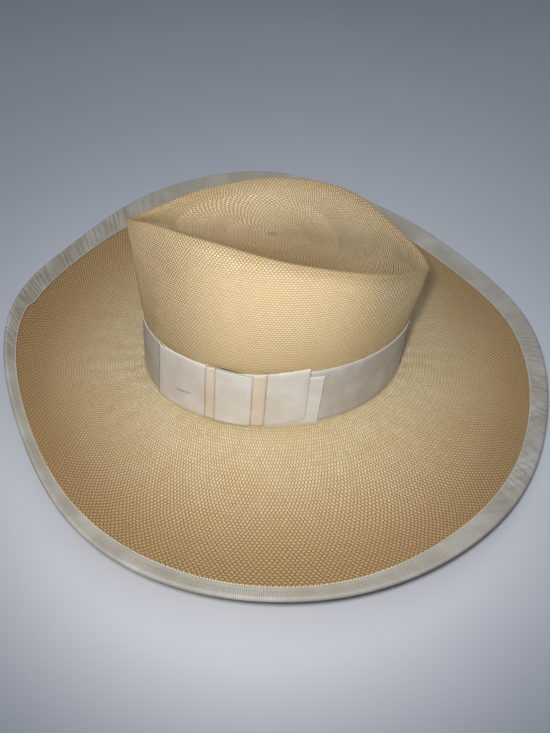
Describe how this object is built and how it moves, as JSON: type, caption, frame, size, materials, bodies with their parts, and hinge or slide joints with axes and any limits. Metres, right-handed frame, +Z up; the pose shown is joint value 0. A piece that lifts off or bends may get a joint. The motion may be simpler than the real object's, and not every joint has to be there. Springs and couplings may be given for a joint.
{
  "type": "wide brim straw hat",
  "caption": "Woven straw hat with a teardrop-creased crown, a wide upturned brim bound in ribbon, and a ribbon band with a flat bow.",
  "frame": {"origin": "on the surface the hat rests on, under the middle of the brim", "axes": "+Z up through the crown; -Y to the pinched front; +X to the wearer's left, where the bow is"},
  "size_m": [0.4258, 0.4141, 0.131],
  "materials": {
    "straw": "woven straw, satin",
    "binding_ribbon": "ribbed ribbon, matte",
    "band_ribbon": "ribbed ribbon, matte",
    "aged_ribbon": "ribbed ribbon yellowed with age, matte"
  },
  "bodies": {
    "root": {"straw_body": "straw", "brim_binding": "binding_ribbon", "hat_band": "band_ribbon", "bow_tail": "band_ribbon", "bow_loop_front": "band_ribbon", "bow_loop_back": "band_ribbon", "bow_wrap": "aged_ribbon", "bow_knot": "band_ribbon"}
  },
  "joints": []
}
